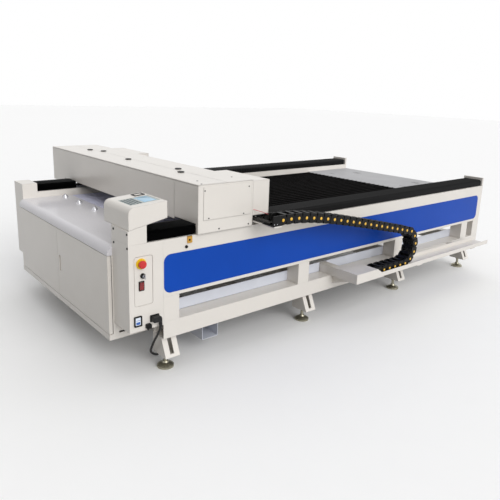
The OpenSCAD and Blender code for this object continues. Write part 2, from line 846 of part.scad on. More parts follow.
// Guide rails with the drive racks beside them
module linear_rails() {
    y = [col_y0 + end_cap_d + 10, machine_l - end_plate_t - 6];
    color("silver") both_sides() {
        block([rail_x - rail_w / 2, y[0], rail_z], [rail_x + rail_w / 2, y[1], rail_z + rail_h]);
        block([rack_x, y[0], rail_z], [rack_x + rack_w, y[1], rail_z + 15]);
    }
}

// Arm with the box that covers the fixed end of the drag chain
box_l = 213;
slope_l = 67;
box_top_t = 4;

module chain_arm() {
    y = arm_y[0];
    top = beam_z1 + arm_h + box_top_t;
    x = [tray_x0 - arm_plate_t, tray_x1 + arm_plate_t];
    lip_z = tray_z0 + tray_lip - 8;
    color("whitesmoke") {
        block([beam_x0 - 30, y, beam_z1], [x[1], arm_y[1], beam_z1 + arm_h]);
        face_y(y + 26, 8) polygon([[out_x, beam_z1], [out_x, beam_z1 - 60], [tray_x1 - 60, beam_z1]]);
        block([x[0], y, beam_z1 + arm_h], [x[1], y + box_l, top]);
        for (side = [x[0], tray_x1]) face_x(side, arm_plate_t)
            polygon([[y, beam_z1], [y + box_l + slope_l, beam_z1], [y + box_l + slope_l, lip_z],
                [y + box_l, top], [y, top]]);
    }
}

// Cable tray on two flat brackets
module cable_tray() {
    anchor = chain_start[0] - link_r - run_gap;
    stand_l = 60;
    tray_l = tray_y[1] - tray_y[0];
    color("whitesmoke") {
        difference() {
            block([tray_x0, tray_y[0], tray_z0], [tray_x1, tray_y[1], tray_z0 + tray_lip]);
            block([tray_x0 + tray_t, tray_y[0] - 1, tray_z0 + tray_t],
                [tray_x1 - tray_t, tray_y[1] + 1, tray_z0 + tray_lip + 1]);
        }
        block([chain_x - 38, anchor - 8, tray_z0 + tray_t], [chain_x + 38, anchor, tray_z0 + tray_t + 46]);
        for (y = [tray_y[0] + 0.362 * tray_l, tray_y[0] + 0.834 * tray_l]) {
            block([out_x, y, tray_z0 - 6], [tray_x1, y + stand_l, tray_z0]);
            block([out_x, y, beam_z0 + 20], [out_x + 6, y + stand_l, tray_z0 - 6]);
        }
    }
}

// Drag chain: offset links, each with two stepped side plates, two cross bars and a pair of pins
function upper_slope(t) = upper_rise * (1 - pow(t, 6)) * (1 - 0.1 * t);

function heading(i) = i < n_low ? 0
    : i < n_low + n_bend ? bend_first + (i - n_low) * bend_step
    : 180 - upper_slope((i - n_low - n_bend) / (n_up - 1));

chain_n = n_low + n_bend + n_up;
pivots = [for (i = 0, q = chain_start; i <= chain_n;
    q = q + link_p * [cos(heading(i)), sin(heading(i))], i = i + 1) q];
half_w = chain_w / 2;
step_gap = 0.5;
inner_w = half_w - 2 * plate_t - step_gap;
web = [link_r + 0.6, link_p - link_r - 0.6];
// The eight-sided eye clears the eight-sided pin at any angle between two links
eye_r = (pin_r + run_gap) / cos(22.5);

module side_plates() {
    h = link_h / 2;
    translate([0, 0, half_w - plate_t]) linear_extrude(plate_t) {
        circle(link_r, $fn = 12);
        translate([0, -h]) square([web[1], link_h]);
    }
    translate([0, 0, inner_w]) linear_extrude(plate_t) difference() {
        union() {
            translate([link_p, 0]) circle(link_r, $fn = 12);
            translate([web[0], -link_r]) square([link_p - web[0], 2 * link_r]);
        }
        translate([link_p, 0]) circle(eye_r, $fn = 8);
    }
    translate([web[0], -link_r, inner_w]) cube([web[1] - web[0], 2 * link_r, half_w - inner_w]);
    translate([0, 0, inner_w]) cylinder(r = pin_r, h = half_w - inner_w + 2, $fn = 8);
}

// One link in its own plane: u along the link, v across it, w along the pins
module link() {
    side_plates();
    mirror([0, 0, 1]) side_plates();
    for (v = [-link_r, link_r - 5]) {
        translate([web[0], v, -inner_w - 1]) cube([web[1] - web[0], 5, 2 * inner_w + 2]);
        translate([link_p / 2 - 12, v, -inner_w + 3]) cube([24, 5, 2 * inner_w - 6]);
    }
}

module links(first, last) {
    for (i = [first:last])
        translate([chain_x, pivots[i][0], pivots[i][1]]) rotate([90, 0, 90])
            rotate([0, 0, heading(i)]) link();
}

module chain_lower() { color("black") links(0, n_low - 1); }

module chain_bend() { color("black") links(n_low, n_low + n_bend - 1); }

// Connector at the moving end: the last pair of outer plates on a foot
connector_l = 72;

module connector_plate(l) {
    h = link_h / 2;
    translate([0, 0, half_w - plate_t]) linear_extrude(plate_t) {
        circle(link_r, $fn = 12);
        translate([0, -h]) square([l, link_h]);
    }
    translate([0, 0, inner_w]) cylinder(r = pin_r, h = half_w - inner_w + 2, $fn = 8);
}

module end_connector() {
    foot_u = link_r + 1;
    connector_plate(connector_l);
    mirror([0, 0, 1]) connector_plate(foot_u + 2);
    translate([foot_u, link_h / 2 - 5, -half_w]) cube([connector_l - foot_u, 5, chain_w]);
}

module chain_upper() {
    end = pivots[chain_n];
    color("black") {
        links(n_low + n_bend, chain_n - 1);
        translate([chain_x, end[0], end[1]]) rotate([90, 0, 90]) rotate([0, 0, 180]) end_connector();
    }
}

// Bellows over the rails: pleated roof and two side skirts
module pleats(y) {
    n = floor((y[1] - y[0]) / pleat_p);
    p = (y[1] - y[0]) / n;
    top = bellows_z0 + bellows_h;
    polygon(concat([[y[0], bellows_z0]],
        [for (i = [0:n - 1], k = [0, 0.5]) [y[0] + (i + k) * p, top - (k > 0 ? 0 : pleat_d)]],
        [[y[1], top - pleat_d], [y[1], bellows_z0]]));
}

module bellows(y) {
    color("black") both_sides() difference() {
        face_x(bellows_x0, bellows_x1 - bellows_x0) pleats(y);
        block([bellows_x0 + skirt_t, y[0] - 1, bellows_z0 - 1],
            [bellows_x1 - skirt_t, y[1] + 1, bellows_z0 + bellows_h - pleat_d - 12]);
    }
}

module front_bellows() { bellows(front_bellows_y); }

module rear_bellows() { bellows(rear_bellows_y); }

// Power cord: a tube swept along its route, the stored coil, and its two plugs
cord_sides = 8;

function unit(v) = v / norm(v);

function cord_way(i) = unit(cord_path[min(i + 1, len(cord_path) - 1)] - cord_path[max(i - 1, 0)]);

function cord_ring(i) = let (t = cord_way(i), a = unit(cross(t, [0.3, 1, 0.2])), b = cross(t, a))
    [for (k = [0:cord_sides - 1]) let (w = k * 360 / cord_sides)
        cord_path[i] + cord_r * (cos(w) * a + sin(w) * b)];

module power_cord() {
    n = len(cord_path);
    s = cord_sides;
    color("black") polyhedron(
        points = [for (i = [0:n - 1]) each cord_ring(i)],
        faces = concat([[for (k = [s - 1:-1:0]) k]], [[for (k = [0:s - 1]) (n - 1) * s + k]],
            [for (i = [0:n - 2], k = [0:s - 1]) let (a = i * s, b = a + s, m = (k + 1) % s)
                [a + k, a + m, b + m, b + k]]));
}

module cord_coil() {
    color("black") translate([coil_c[0], coil_c[1], 0.2]) rotate_extrude($fn = 48)
        translate([coil_r - coil_wide / 2, 0]) square([coil_wide, coil_high]);
}

plug_size = [46, 28];
plug_t = 30;
cord_seat = 0.8;
prong_r = 2.4;
plug_turn = 80;
stub_l = 19.5;

module cord_plugs() {
    start = cord_path[0];
    color("black") {
        face_x(out_x + 5, plug_t) translate(inlet_c - plug_size / 2)
            round_rect(plug_size[0], plug_size[1], 6);
        translate(start + [0, 0, cord_seat]) cylinder(r = cord_r + 3, h = inlet_c[1] - start[2] - cord_seat);
        translate([wall_plug_c[0], wall_plug_c[1], 0.2]) rotate([0, 0, plug_turn]) {
            translate([-20, -25, 0]) cube([40, 50, 32]);
            translate([0, -25 - stub_l, 16]) rotate([-90, 0, 0]) cylinder(r = cord_r, h = stub_l + 1);
            for (x = [-9.5, 9.5]) translate([x, 24, 16]) rotate([-90, 0, 0]) cylinder(r = prong_r, h = 20);
        }
    }
}

// Gantry: beam on two saddles, which ride on rail carriages
module gantry_beam() {
    x = rail_x + saddle_w / 2;
    color("silver") difference() {
        block([-x, bridge_y0, saddle_z1], [x, bridge_y1, bridge_z1]);
        block([-x - 1, bridge_y0 + 6, saddle_z1 + 6], [x + 1, bridge_y1 - 6, bridge_z1 - 6]);
    }
}

module carriage(y) {
    difference() {
        block([rail_x - 25, y, rail_z + block_lift], [rail_x + 25, y + 80, saddle_z0]);
        block([rail_x - rail_w / 2 - run_gap, y - 1, rail_z + block_lift - 1],
            [rail_x + rail_w / 2 + run_gap, y + 81, rail_z + rail_h + run_gap]);
    }
}

module gantry_saddles() {
    x = [rail_x - saddle_w / 2, rail_x + saddle_w / 2];
    bearing_x = [rail_x - 44, rail_x - 30];
    color("dimgray") both_sides() difference() {
        union() {
            block([x[0], gantry_y + sheet_t, saddle_z0], [x[1], saddle_y1, saddle_z1]);
            for (y = [gantry_y + 45, gantry_y + 285]) carriage(y);
            block([bearing_x[0], shaft_y - 25, shaft_z - shaft_r - 12],
                [bearing_x[1], shaft_y + 25, saddle_z0]);
        }
        block([x[0] - 1, shaft_y - pinion_r - 4, saddle_z0 - 1],
            [bearing_x[0], shaft_y + pinion_r + 4, saddle_z1 + 1]);
        translate([bearing_x[0] - 1, shaft_y, shaft_z]) rotate([0, 90, 0])
            cylinder(r = shaft_r + run_gap, h = 40);
    }
}

// Cross shaft with the two drive pinions
module drive_shaft() {
    l = 2 * (rail_x - 26);
    color("silver") {
        translate([-l / 2, shaft_y, shaft_z]) rotate([0, 90, 0]) cylinder(r = shaft_r, h = l);
        both_sides() translate([rack_x + 1, shaft_y, shaft_z]) rotate([0, 90, 0])
            cylinder(r = pinion_r, h = rack_w - 2);
    }
}

// Covers of the gantry
seam_gap = 0.5;
roll_room = 2 * roll_r + 1;

module front_cover() {
    x = [-tube_reach, -tube_reach + tube_end_w];
    low = cover_z0 - tube_end_drop;
    y = [gantry_y, gantry_y1 - sheet_t];
    t = sheet_t;
    color("whitesmoke") {
        block([x[0], y[0], cover_z0], [seam_x - seam_gap, y[0] + t, wall_z1]);
        block([x[0], y[0] + roll_room, wall_z1 - 1], [x[0] + t, y[1] - roll_room, lid_z0 - run_gap]);
        difference() {
            block([x[0], y[0], low], [x[1], y[1], wall_z1]);
            block([x[0] + t, y[0] + t, low + t], [x[1] - t, y[1] - t, wall_z1 + 1]);
            block([x[1] - t - 1, y[0] + t, cover_z0 + t], [x[1] + 1, y[1] - t, wall_z1 + 1]);
        }
    }
}

module right_end_cover() {
    lip = 20;
    clear_z = bellows_z0 + bellows_h + 4;
    x = [end_x - sheet_t, end_x];
    y = [gantry_y, gantry_y1];
    color("whitesmoke") {
        block([seam_x + seam_gap, y[0], clear_z], [end_x - lip, y[0] + sheet_t, wall_z1]);
        block([end_x - lip, y[0], rail_z + 2], [x[0], y[0] + sheet_t, wall_z1]);
        block([x[0], y[0], rail_z + 2], [x[1], y[1], wall_z1]);
        block([x[0], y[0] + roll_room, wall_z1 - 1], [x[1], y[1] - roll_room, lid_z0 - run_gap]);
        face_x(end_x, 2) translate([y[0] + 34, cover_z1 - 191]) round_rect(gantry_d - 48, 178, 6);
    }
}

box_left_x = [across(0.1124), across(0.3226)];
box_right_x = [across(0.8016), end_x - sheet_t];

module rear_box(x) {
    t = sheet_t;
    difference() {
        block([x[0], gantry_y1 - t, saddle_z1 + 2], [x[1], rear_y1, wall_z1]);
        block([x[0] + t, gantry_y1 - t - 1, saddle_z1 + 1], [x[1] - t, rear_y1 - t, wall_z1 - t]);
    }
}

module rear_cover() {
    y = [gantry_y1 - sheet_t, gantry_y1];
    color("whitesmoke") {
        difference() {
            block([-tube_reach, y[0], saddle_z1], [end_x - sheet_t, y[1], wall_z1]);
            for (x = [box_left_x, box_right_x])
                block([x[0] + 1, y[0] - 1, saddle_z1 + 30], [x[1] - 1, y[1] + 1, wall_z1 - 20]);
        }
        rear_box(box_left_x);
        rear_box(box_right_x);
    }
}

// Cables from the gantry into the open side of the chain's connector
bundle_r = 6;
bundle_n = 3;

module cable_bundle() {
    end = pivots[chain_n];
    x = [rail_x + saddle_w / 2 + seat_gap, chain_x + 10];
    y = gantry_y1 + bundle_r + 1;
    z = end[1] - link_h / 2 + 5 + bundle_r + seat_gap;
    color("black") for (i = [0:bundle_n - 1])
        translate([x[0], y + i * (2 * bundle_r - 1), z]) rotate([0, 90, 0])
            cylinder(r = bundle_r, h = x[1] - x[0]);
}

// Lids on top of the gantry, each rolled into a hinge along its outer edge
lid_x = [-tube_reach, end_x];

module lid(hinge_at, y0, y1, locks) {
    color("whitesmoke") difference() {
        union() {
            block([lid_x[0], y0, lid_z0], [lid_x[1], y1, cover_z1]);
            translate([lid_x[0], hinge_at, lid_z0]) rotate([0, 90, 0])
                cylinder(r = roll_r, h = lid_x[1] - lid_x[0]);
        }
        for (p = locks) translate([p[0], p[1], lid_z0 - 1]) cylinder(r = 8 + run_gap, h = 10);
    }
}

front_locks = [for (x = front_lock_x) [x, split_y - lock_step]];
rear_locks = [for (x = rear_lock_x) [x, split_y + lock_step]];

module front_lid() { lid(gantry_y + roll_r, gantry_y + roll_r, split_y - 0.5, front_locks); }

module rear_lid() { lid(gantry_y1 - roll_r, split_y + 0.5, gantry_y1 - roll_r, rear_locks); }

// Quarter-turn cam lock: slotted knob, stem and cam under the lid
module cam_lock(p) {
    color("black") translate([p[0], p[1], lid_z0]) {
        translate([0, 0, -14]) cylinder(r = 8, h = 14 + roll_r + 1);
        translate([0, 0, roll_r + run_gap]) difference() {
            cylinder(r = lock_r, h = 5);
            translate([-lock_r, -1.5, 3]) cube([2 * lock_r, 3, 3]);
        }
        translate([-6, -8, -18]) cube([12, 24, 4]);
    }
}

module lock_front_left() { cam_lock(front_locks[0]); }

module lock_front_middle() { cam_lock(front_locks[1]); }

module lock_front_right() { cam_lock(front_locks[2]); }

module lock_rear_left() { cam_lock(rear_locks[0]); }

module lock_rear_right() { cam_lock(rear_locks[1]); }

// Cross axis: enclosed belt module with its motor, the head carriage and the lens tube
module_x = [-rail_x - 17, rail_x + 17];
motor_x = [rail_x - 223, rail_x - 143];

module axis_drives() {
    x = module_x;
    z = module_z;
    rim = 20;
    motor_y = [shaft_y - 35, shaft_y + 35];
    color("silver") {
        difference() {
            block([x[0], module_y0, z[0]], [x[1], bridge_y0, z[1]]);
            block([x[0] + rim, module_y0 - 1, z[0] + rim], [x[1] - rim, module_y0 + 12, z[1] - rim]);
        }
        block([x[1], module_y0 - 1, z[0] + 1], [x[1] + 64, bridge_y0 - 1, z[1] - 1]);
        difference() {
            block([motor_x[0], motor_y[0], shaft_z - 22], [motor_x[1], motor_y[1], saddle_z1 + 120]);
            translate([motor_x[0] - 10, shaft_y, shaft_z]) rotate([0, 90, 0])
                cylinder(r = shaft_r + run_gap, h = 100);
        }
        block([motor_x[0] + 20, bridge_y1, saddle_z1 + 40], [motor_x[1] - 20, motor_y[0], saddle_z1 + 70]);
    }
}

clamp_w = 44;

module head_carriage() {
    plate_y = [module_y0 - run_gap - 14, module_y0 - run_gap];
    color("gray") difference() {
        union() {
            block([-60, plate_y[0], head_z[0]], [60, plate_y[1], head_z[1]]);
            block([-clamp_w / 2, head_y - 23, head_z[0] + 20], [clamp_w / 2, plate_y[0], head_z[0] + 62]);
            block([-8, plate_y[1] - 1, module_z[0] + 22], [8, module_y0 + 8, module_z[1] - 22]);
        }
        translate([0, head_y, head_z[0]]) cylinder(r = lens_r + run_gap, h = 100);
    }
}

module lens_tube() {
    tip_z = table_z + 14;
    color("goldenrod") translate([0, head_y, 0]) {
        translate([0, 0, tip_z + 34]) cylinder(r = lens_r, h = head_z[1] - tip_z - 24);
        translate([0, 0, tip_z]) cylinder(r1 = 4, r2 = lens_r, h = 34);
    }
}

module laser_tube() {
    color("lightcyan") translate([tube_x0, tube_y, tube_z]) rotate([0, 90, 0])
        cylinder(r = tube_r, h = tube_l);
}

// Cradles of the laser tube and the two fixed mirrors
module optic_mounts() {
    color("gray") {
        for (x = [tube_x0 + 0.303 * tube_l, tube_x0 + 0.8485 * tube_l]) difference() {
            block([x - 20, tube_y - tube_r - 8, bridge_z1], [x + 20, tube_y + tube_r + 8, tube_z]);
            translate([x - 30, tube_y, tube_z]) rotate([0, 90, 0]) cylinder(r = tube_r + run_gap, h = 60);
        }
        block([mirror_x - 25, tube_y - 30, bridge_z1], [mirror_x + 25, tube_y + 30, tube_z + 25]);
        block([mirror_x - 20, head_y - 20, module_z[1]], [mirror_x + 20, module_y0 + 40, module_z[1] + 10]);
        block([mirror_x - 20, head_y - 20, module_z[1] + 10], [mirror_x + 20, head_y + 20, tube_z + 25]);
    }
}

// Bracket that carries the moving end of the drag chain: a plate hung from the saddle's outer edge
module chain_bracket() {
    end = pivots[chain_n];
    x = rail_x + saddle_w / 2;
    z = end[1] - link_h / 2 - seat_gap;
    y = [end[0] - connector_l, end[0] - link_r + 20];
    t = 8;
    color("whitesmoke") {
        block([x - t, y[0] + t, z - t], [x, y[1], saddle_z0]);
        block([x - t, y[0] + t, z - t], [chain_x + half_w, y[1], z]);
    }
}

place() base_beams();
place() frame_members();
place() side_boxes();
place() side_panels();
place() inner_panels();
place() levelling_feet();
place() cabinet();
place() front_table();
place() ball_units();
place() rear_table();
place() slat_bed();
place() slat_combs();
place() waste_hopper();
place() exhaust_duct();
place() front_columns();
place() console_neck();
place() console_housing();
place() lcd();
place() keypad();
place() switch_plate();
place() panel_fittings();
place() limit_switch();
place() estop_collar();
place() cabinet_electrics();
place() linear_rails();
place() chain_arm();
place() cable_tray();
place() chain_lower();
place() front_bellows();
place() rear_bellows();
place() power_cord();
place() cord_coil();
place() cord_plugs();
place() door_left();
place() door_right();
place() estop_button();
place() key();
place() rocker();
place() gantry_beam();
place() gantry_saddles();
place() front_cover();
place() right_end_cover();
place() rear_cover();
place() cable_bundle();
place() front_lid();
place() rear_lid();
place() lock_front_left();
place() lock_front_middle();
place() lock_front_right();
place() lock_rear_left();
place() lock_rear_right();
place() axis_drives();
place() head_carriage();
place() lens_tube();
place() laser_tube();
place() optic_mounts();
place() drive_shaft();
place() chain_bracket();
place() chain_bend();
place() chain_upper();
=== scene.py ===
import json
import math

import bmesh
import bpy
from mathutils import Matrix, Vector


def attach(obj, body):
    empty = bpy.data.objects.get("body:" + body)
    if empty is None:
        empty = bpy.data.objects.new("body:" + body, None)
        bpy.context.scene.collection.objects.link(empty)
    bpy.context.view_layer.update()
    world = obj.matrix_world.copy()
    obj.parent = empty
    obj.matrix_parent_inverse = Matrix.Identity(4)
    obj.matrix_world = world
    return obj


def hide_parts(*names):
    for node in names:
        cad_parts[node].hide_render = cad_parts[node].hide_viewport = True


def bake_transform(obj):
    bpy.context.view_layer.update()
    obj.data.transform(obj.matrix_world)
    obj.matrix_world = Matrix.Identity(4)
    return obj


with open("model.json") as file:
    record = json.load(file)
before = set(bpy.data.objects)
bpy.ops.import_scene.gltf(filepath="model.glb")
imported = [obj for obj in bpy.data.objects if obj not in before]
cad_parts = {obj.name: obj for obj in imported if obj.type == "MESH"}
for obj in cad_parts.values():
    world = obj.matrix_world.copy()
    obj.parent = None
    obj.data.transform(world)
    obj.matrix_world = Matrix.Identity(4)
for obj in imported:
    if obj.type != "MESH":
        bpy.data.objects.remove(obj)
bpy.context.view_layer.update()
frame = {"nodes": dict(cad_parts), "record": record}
nodes = frame["nodes"]

# Machine frame in millimetres (X from the middle, Y from the doors) to the row frame in metres
MID_X, MID_Y = -33.5, 1730.0


def at(x, y, z):
    """Place in the row frame of a point of the machine frame."""
    return Vector(((x - MID_X) / 1000, (y - MID_Y) / 1000, z / 1000))


# Camera at the photograph's angle
CAMERA_AT = (3078, -1080, 1466)
AZIMUTH, ELEVATION, ROLL = math.radians(49.51), math.radians(13.61), math.radians(1.99)
SENSOR_WIDTH, LENS = 36, 37.94
SHIFT_X, SHIFT_Y = -0.007, -0.0575
VIEW_DEPTH = 100
back = Vector((math.sin(AZIMUTH) * math.cos(ELEVATION), -math.cos(AZIMUTH) * math.cos(ELEVATION),
               math.sin(ELEVATION)))
right = Vector((math.cos(AZIMUTH), math.sin(AZIMUTH), 0))
up = back.cross(right)
cam_right = math.cos(ROLL) * right + math.sin(ROLL) * up
cam_up = -math.sin(ROLL) * right + math.cos(ROLL) * up
cam = bpy.data.objects.new("camera", bpy.data.cameras.new("camera"))
cam_place = Matrix((cam_right, cam_up, back)).transposed().to_4x4()
cam_place.translation = at(*CAMERA_AT)
cam.matrix_world = cam_place
cam.data.sensor_width = SENSOR_WIDTH
cam.data.lens = LENS
cam.data.shift_x = SHIFT_X
cam.data.shift_y = SHIFT_Y
cam.data.clip_end = VIEW_DEPTH
bpy.context.collection.objects.link(cam)
bpy.context.scene.camera = cam
bpy.context.scene.view_settings.view_transform = "Standard"

# Materials
MOTTLE_DETAIL, GRAIN_DETAIL = 5, 3
DARK_AT, LIGHT_AT = 0.3, 0.7
ROUGH_VARY, ROUGH_LEAST = 0.08, 0.02
BUMP_DEPTH = 0.002
EDGE_SAMPLES = 4
COAT_ROUGH = 0.12


def lin(r, g, b):
    """Linear colour of a screen colour in steps of 0 to 255."""
    def one(c):
        c /= 255
        return c / 12.92 if c <= 0.04045 else ((c + 0.055) / 1.055) ** 2.4
    return (one(r), one(g), one(b), 1)


def material(name, rgb, rough=0.4, metal=0.0, mottle=0.04, scale=6.0, bump=0.02, grain=180.0,
             edge=0.0, coat=0.0, stretch=(1, 1, 1), spec=0.5):
    """Mottled colour, a fine grain in roughness and bump, and edges rounded by edge metres."""
    look = bpy.data.materials.new(name)
    look.use_nodes = True
    tree = look.node_tree
    surface = tree.nodes["Principled BSDF"]
    coords = tree.nodes.new("ShaderNodeTexCoord")
    mapping = tree.nodes.new("ShaderNodeMapping")
    mapping.inputs["Scale"].default_value = stretch
    tree.links.new(coords.outputs["Object"], mapping.inputs["Vector"])
    big = tree.nodes.new("ShaderNodeTexNoise")
    big.inputs["Scale"].default_value = scale
    big.inputs["Detail"].default_value = MOTTLE_DETAIL
    tree.links.new(mapping.outputs["Vector"], big.inputs["Vector"])
    ramp = tree.nodes.new("ShaderNodeValToRGB")
    ramp.name = "tone"
    dark, light = ramp.color_ramp.elements
    dark.position, light.position = DARK_AT, LIGHT_AT
    dark.color = tuple(c * (1 - mottle * 2) for c in rgb[:3]) + (1,)
    light.color = tuple(min(1, c * (1 + mottle)) for c in rgb[:3]) + (1,)
    tree.links.new(big.outputs["Fac"], ramp.inputs["Fac"])
    tree.links.new(ramp.outputs["Color"], surface.inputs["Base Color"])
    fine = tree.nodes.new("ShaderNodeTexNoise")
    fine.inputs["Scale"].default_value = grain
    fine.inputs["Detail"].default_value = GRAIN_DETAIL
    tree.links.new(mapping.outputs["Vector"], fine.inputs["Vector"])
    gloss = tree.nodes.new("ShaderNodeMapRange")
    gloss.inputs["To Min"].default_value = max(ROUGH_LEAST, rough - ROUGH_VARY)
    gloss.inputs["To Max"].default_value = min(1, rough + ROUGH_VARY)
    tree.links.new(fine.outputs["Fac"], gloss.inputs["Value"])
    tree.links.new(gloss.outputs["Result"], surface.inputs["Roughness"])
    relief = tree.nodes.new("ShaderNodeBump")
    relief.inputs["Strength"].default_value = bump
    relief.inputs["Distance"].default_value = BUMP_DEPTH
    tree.links.new(fine.outputs["Fac"], relief.inputs["Height"])
    if edge:
        rounded = tree.nodes.new("ShaderNodeBevel")
        rounded.samples = EDGE_SAMPLES
        rounded.inputs["Radius"].default_value = edge
        tree.links.new(rounded.outputs["Normal"], relief.inputs["Normal"])
    tree.links.new(relief.outputs["Normal"], surface.inputs["Normal"])
    surface.inputs["Metallic"].default_value = metal
    surface.inputs["Specular IOR Level"].default_value = spec
    surface.inputs["Coat Weight"].default_value = coat
    surface.inputs["Coat Roughness"].default_value = COAT_ROUGH
    return look


def shade_along(look, axis, start, end, rgb):
    """Fades the base colour of look to rgb between two places on one axis of the part."""
    tree = look.node_tree
    coords = tree.nodes.new("ShaderNodeTexCoord")
    xyz = tree.nodes.new("ShaderNodeSeparateXYZ")
    tree.links.new(coords.outputs["Object"], xyz.inputs["Vector"])
    fade = tree.nodes.new("ShaderNodeMapRange")
    fade.interpolation_type = "SMOOTHSTEP"
    fade.inputs["From Min"].default_value = start
    fade.inputs["From Max"].default_value = end
    tree.links.new(xyz.outputs[axis], fade.inputs["Value"])
    mix = tree.nodes.new("ShaderNodeMix")
    mix.data_type = "RGBA"
    mix.inputs["B"].default_value = rgb
    tree.links.new(fade.outputs["Result"], mix.inputs["Factor"])
    base = tree.nodes["Principled BSDF"].inputs["Base Color"]
    tree.links.new(base.links[0].from_socket, mix.inputs["A"])
    tree.links.new(mix.outputs["Result"], base)


WHITE = lin(223, 218, 211)
paint = material("white_paint", WHITE, rough=0.34, mottle=0.012, bump=0.03, grain=420, edge=0.003,
                 coat=0.2)
cover_paint = material("cover_paint", WHITE, rough=0.32, mottle=0.01, bump=0.03, grain=420,
                       edge=0.009, coat=0.2)
table_paint = material("table_paint", lin(216, 214, 218), rough=0.3, mottle=0.012, bump=0.01,
                       edge=0.003, coat=0.25)
rear_paint = material("rear_table_paint", lin(176, 176, 178), rough=0.55, mottle=0.03, bump=0.03,
                      edge=0.002, spec=0.15)
blue = material("blue_paint", lin(8, 70, 172), rough=0.36, mottle=0.04, scale=3, bump=0.02,
                grain=380, edge=0.001, spec=0.16)
grey_panel = material("grey_panel", lin(204, 207, 216), rough=0.4, mottle=0.03, bump=0.02,
                      edge=0.001)
# Near-black steel that colours the waste hopper under the slats
hopper_black = material("hopper_black_steel", lin(20, 18, 17), rough=0.85, mottle=0.3, scale=5, bump=0.1,
                spec=0.06)
zinc = material("zinc", lin(168, 164, 146), rough=0.3, metal=0.9, mottle=0.12, scale=40, bump=0.05,
                edge=0.001)
# Light lilac slat colour: a painted reflection, kept in front of the gantry and faded to soot
# behind it
slat_alu = material("slat_alu", lin(214, 214, 232), rough=0.6, metal=0.15, mottle=0.1, scale=9,
                    bump=0.08, grain=260, stretch=(1, 0.06, 1), spec=0.06)
steel = material("steel", lin(196, 196, 200), rough=0.22, metal=0.95, mottle=0.08, scale=20,
                 bump=0.05)
dark_steel = material("dark_steel", lin(52, 52, 55), rough=0.5, metal=0.4, mottle=0.1, scale=14,
                      bump=0.05, spec=0.3)
alu = material("alu", lin(205, 205, 210), rough=0.35, metal=0.9, mottle=0.06, scale=16, bump=0.04,
               stretch=(0.1, 1, 1))
black = material("black_plastic", lin(8, 8, 8), rough=0.45, mottle=0.15, scale=30, bump=0.1,
                 grain=700, edge=0.001, spec=0.2)
bellows_cloth = material("bellows_fabric", lin(6, 6, 7), rough=0.5, mottle=0.25, scale=24,
                         bump=0.2, grain=900, spec=0.28)
rubber = material("black_rubber", lin(16, 16, 17), rough=0.5, mottle=0.2, scale=40, bump=0.15,
                  grain=800, spec=0.35)
screen = material("screen", lin(120, 172, 206), rough=0.12, mottle=0.05, scale=14, bump=0.0,
                  coat=0.4)
film = material("keypad_film", lin(168, 178, 174), rough=0.38, mottle=0.06, scale=30, bump=0.04)
key_cap = material("key_cap", lin(44, 60, 70), rough=0.4, mottle=0.08, scale=60, bump=0.04)
yellow = material("yellow_plastic", lin(238, 198, 40), rough=0.35, mottle=0.05, scale=30,
                  bump=0.03)
red = material("red_plastic", lin(206, 26, 24), rough=0.25, mottle=0.06, scale=30, bump=0.03,
               coat=0.3)
dark_red = material("rocker_red", lin(128, 8, 12), rough=0.18, mottle=0.1, scale=60, bump=0.02,
                    coat=0.5)
brass = material("brass", lin(206, 158, 74), rough=0.25, metal=0.9, mottle=0.1, scale=60,
                 bump=0.04)
gold = material("pin_cap", lin(240, 188, 66), rough=0.3, mottle=0.06, scale=60, bump=0.02)
electronics = material("electronics", lin(120, 126, 134), rough=0.4, metal=0.5, mottle=0.1,
                       scale=20, bump=0.04)
wire_red = material("wire_red", lin(206, 92, 104), rough=0.4, mottle=0.06, scale=60, bump=0.02)
meter_white = material("meter_white", lin(226, 234, 244), rough=0.2, mottle=0.02, scale=60,
                       bump=0.0, coat=0.4)
screen_blue = material("screen_blue", lin(164, 202, 226), rough=0.2, mottle=0.03, scale=40,
                       bump=0.0, spec=0.3)
meter_blue = material("meter_blue", lin(44, 96, 178), rough=0.2, mottle=0.04, scale=60, bump=0.0,
                      coat=0.4)
glass = material("tube_glass", lin(215, 235, 240), rough=0.06, mottle=0.03, scale=12, bump=0.0)
GLASS_CLEAR = 0.9
glass.node_tree.nodes["Principled BSDF"].inputs["Transmission Weight"].default_value = GLASS_CLEAR

# The slats are painted bright in front of the gantry as a painted reflection, and fade to sooty
# dark behind it
PAINTED_REFLECTION_TO, SOOTY_FROM = 560, 760
shade_along(slat_alu, "Y", at(0, PAINTED_REFLECTION_TO, 0).y, at(0, SOOTY_FROM, 0).y, lin(10, 9, 9))

# Looks of the solids: by their slot in the record, and a few nodes with looks of their own
SLOT_MATERIAL = {
    "white_paint": paint, "blue_paint": blue, "grey_panel": grey_panel, "zinc": zinc,
    "slat_alu": slat_alu, "steel": steel, "dark_steel": dark_steel, "alu": alu,
    "black_plastic": black, "bellows_fabric": bellows_cloth, "black_rubber": rubber,
    "screen": screen, "keypad_film": film, "yellow_plastic": yellow, "red_plastic": red,
    "brass": brass, "tube_glass": glass, "electronics": electronics}
NODE_MATERIAL = {
    "front_table": table_paint, "rear_table": rear_paint, "waste_hopper": hopper_black, "key": steel,
    "rocker": dark_red, "front_cover": cover_paint, "right_end_cover": cover_paint,
    "rear_cover": cover_paint, "front_lid": cover_paint, "rear_lid": cover_paint,
    "console_housing": cover_paint}
slot_of = {s["node"]: s["material_slot"] for s in frame["record"]["subparts"]}
for name, obj in nodes.items():
    obj.data.materials.clear()
    obj.data.materials.append(NODE_MATERIAL.get(name, SLOT_MATERIAL[slot_of[name]]))

# Mesh builders
SOFT_FROM = math.radians(35)
WELD = 1e-6
FRONT, RIGHT, TOP = (0, -1, 0), (1, 0, 0), (0, 0, 1)
